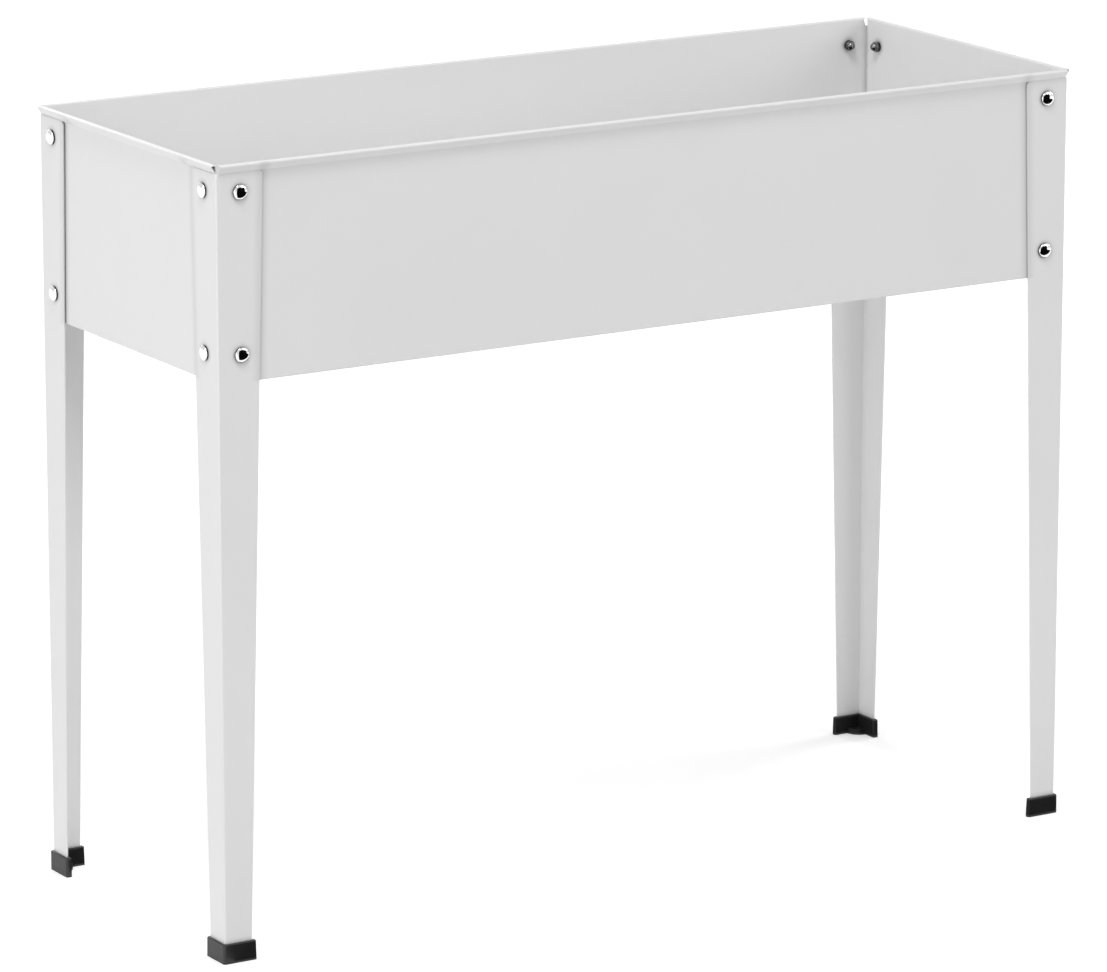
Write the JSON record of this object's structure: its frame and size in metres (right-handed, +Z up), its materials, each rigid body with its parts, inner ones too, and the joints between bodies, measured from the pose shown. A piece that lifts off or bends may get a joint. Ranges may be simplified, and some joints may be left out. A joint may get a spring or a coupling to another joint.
{
  "type": "raised garden bed",
  "caption": "Rectangular open-topped planter box of folded white sheet steel with a hollow rolled rim, bolted to tapered angle legs that stand on black rubber feet.",
  "frame": {"origin": "on the ground, midway between the four feet", "axes": "+X along the long walls to the right as seen from the front, +Y from the front wall to the rear wall, +Z up"},
  "size_m": [1.0076, 0.3786, 0.8],
  "materials": {
    "white_powder_coat": "fine satin powder coat on sheet steel",
    "polished_fastener": "polished plated steel",
    "black_rubber": "moulded matt rubber"
  },
  "bodies": {
    "root": {"front_wall": "white_powder_coat", "rear_wall": "white_powder_coat", "left_wall": "white_powder_coat", "right_wall": "white_powder_coat", "floor_panel": "white_powder_coat", "leg_front_left": "white_powder_coat", "foot_front_left": "black_rubber", "bolts_front_left": "polished_fastener", "nuts_front_left": "polished_fastener", "leg_front_right": "white_powder_coat", "foot_front_right": "black_rubber", "bolts_front_right": "polished_fastener", "nuts_front_right": "polished_fastener", "leg_rear_right": "white_powder_coat", "foot_rear_right": "black_rubber", "bolts_rear_right": "polished_fastener", "nuts_rear_right": "polished_fastener", "leg_rear_left": "white_powder_coat", "foot_rear_left": "black_rubber", "bolts_rear_left": "polished_fastener", "nuts_rear_left": "polished_fastener"}
  },
  "joints": []
}
